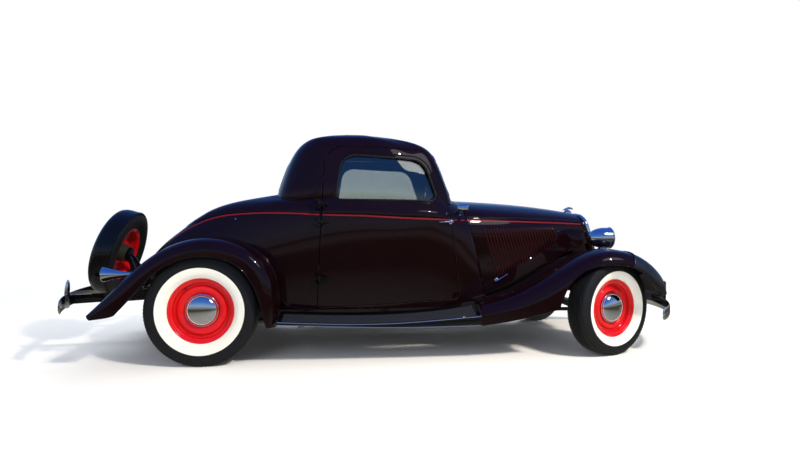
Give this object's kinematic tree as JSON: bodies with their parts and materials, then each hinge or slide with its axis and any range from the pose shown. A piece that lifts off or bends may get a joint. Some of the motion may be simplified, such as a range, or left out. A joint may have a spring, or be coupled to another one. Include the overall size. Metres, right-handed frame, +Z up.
{
  "type": "coupe car",
  "caption": "Pre-war coupe with swept fenders, hinged doors, folding hood halves, a deck lid, steered front wheels, turning road wheels and a covered spare wheel on its tail.",
  "frame": {"origin": "on the ground under the middle of the whole car", "axes": "+X forward, +Y to the car's left, +Z up"},
  "size_m": [4.7368, 1.7824, 1.638],
  "materials": {
    "body_paint": "high gloss black cherry paint",
    "black_paint": "gloss black paint",
    "hinge_paint": "gloss paint",
    "wheel_paint": "gloss red paint",
    "tyre": "black rubber with an off-white sidewall",
    "chrome": "bright plating",
    "glass": "lightly tinted",
    "red_glass": "red lens",
    "chassis_paint": "black chassis paint",
    "board_rubber": "ribbed rubber mat",
    "cover_cloth": "soft black cover with fine wrinkles",
    "seat_cloth": "pleated cloth",
    "cabin_paint": "gloss paint",
    "cabin_plastic": "black hard rubber",
    "plate_paint": "blank plate",
    "iron": "painted casting",
    "radiator_paint": "black painted core"
  },
  "bodies": {
    "car": {"body_shell": "body_paint", "bumper_arms": "chassis_paint", "cowl_lamps": "chrome", "dashboard": "cabin_paint", "engine_block": "iron", "exhaust": "chassis_paint", "fender_covers": "cover_cloth", "fixed_glass": "glass", "floor_pan": "chassis_paint", "frame": "chassis_paint", "front_axle": "chassis_paint", "front_bumper": "chrome", "front_fenders": "body_paint", "front_plate": "plate_paint", "fuel_tank": "chassis_paint", "grille_bars": "chrome", "grille_shell": "body_paint", "headlamp_lenses": "glass", "headlamps": "chrome", "hinge_pins": "hinge_paint", "radiator": "radiator_paint", "rear_axle": "chassis_paint", "rear_bumper": "chrome", "rear_fenders": "body_paint", "running_boards": "board_rubber", "seat_back": "seat_cloth", "seat_cushion": "seat_cloth", "spare_carrier": "chassis_paint", "spare_cover": "black_paint", "spare_tyre": "tyre", "spare_wheel": "wheel_paint", "springs": "chassis_paint", "steering_column": "cabin_plastic", "tail_lamps": "chrome", "tail_lenses": "red_glass"},
    "steer_left": {"knuckle_left": "chassis_paint"},
    "steer_right": {"knuckle_right": "chassis_paint"},
    "tie_rod_body": {"tie_rod": "chassis_paint"},
    "road_wheel_front_left": {"tyre_front_left": "tyre", "wheel_front_left": "wheel_paint", "cap_front_left": "chrome"},
    "road_wheel_front_right": {"tyre_front_right": "tyre", "wheel_front_right": "wheel_paint", "cap_front_right": "chrome"},
    "road_wheel_rear_left": {"tyre_rear_left": "tyre", "wheel_rear_left": "wheel_paint", "cap_rear_left": "chrome"},
    "road_wheel_rear_right": {"tyre_rear_right": "tyre", "wheel_rear_right": "wheel_paint", "cap_rear_right": "chrome"},
    "left_door": {"door_left": "body_paint", "door_glass_left": "glass", "door_hardware_left": "chrome"},
    "right_door": {"door_right": "body_paint", "door_glass_right": "glass", "door_hardware_right": "chrome"},
    "left_hood": {"hood_left": "body_paint"},
    "right_hood": {"hood_right": "body_paint"},
    "deck": {"deck_lid": "body_paint"}
  },
  "joints": [
    {"name": "steering_left", "type": "hinge", "parent": "car", "child": "steer_left", "pos_m": [1.548, 0.596, 0.342], "axis": [0, 0, 1], "range_deg": [-53, 7]},
    {"name": "steering_right", "type": "hinge", "parent": "car", "child": "steer_right", "pos_m": [1.548, -0.596, 0.342], "axis": [0, 0, 1], "range_deg": [-53, 7]},
    {"name": "tie_rod_swing", "type": "hinge", "parent": "steer_left", "child": "tie_rod_body", "pos_m": [1.41913, 0.5413, 0.311], "axis": [0, 0, 1], "range_deg": [-7, 53]},
    {"name": "wheel_spin_front_left", "type": "hinge", "parent": "steer_left", "child": "road_wheel_front_left", "pos_m": [1.50697, 0.69265, 0.342], "axis": [-0.3907, 0.9205, 0], "continuous": true},
    {"name": "wheel_spin_front_right", "type": "hinge", "parent": "steer_right", "child": "road_wheel_front_right", "pos_m": [1.58903, -0.69265, 0.342], "axis": [-0.3907, 0.9205, 0], "continuous": true},
    {"name": "wheel_spin_rear_left", "type": "hinge", "parent": "car", "child": "road_wheel_rear_left", "pos_m": [-1.297, 0.72, 0.373], "axis": [0, 1, 0], "continuous": true},
    {"name": "wheel_spin_rear_right", "type": "hinge", "parent": "car", "child": "road_wheel_rear_right", "pos_m": [-1.297, -0.72, 0.373], "axis": [0, 1, 0], "continuous": true},
    {"name": "door_hinge_left", "type": "hinge", "parent": "car", "child": "left_door", "pos_m": [-0.5145, 0.69232, 0.8], "axis": [0, 0, 1], "range_deg": [0, 70]},
    {"name": "door_hinge_right", "type": "hinge", "parent": "car", "child": "right_door", "pos_m": [-0.5145, -0.69232, 0.8], "axis": [0, 0, -1], "range_deg": [0, 70]},
    {"name": "hood_hinge_left", "type": "hinge", "parent": "car", "child": "left_hood", "pos_m": [0.8255, 0, 1.123], "axis": [0.9966, 0, -0.0824], "range_deg": [0, 55]},
    {"name": "hood_hinge_right", "type": "hinge", "parent": "car", "child": "right_hood", "pos_m": [0.8255, 0, 1.123], "axis": [-0.9966, 0, 0.0824], "range_deg": [0, 55]},
    {"name": "deck_hinge", "type": "hinge", "parent": "car", "child": "deck", "pos_m": [-0.9265, 0, 1.172], "axis": [0, 1, 0], "range_deg": [0, 50]}
  ],
  "couplings": [
    {"joint": "steering_right", "follows": "steering_left", "ratio": 1},
    {"joint": "tie_rod_swing", "follows": "steering_left", "ratio": -1}
  ]
}
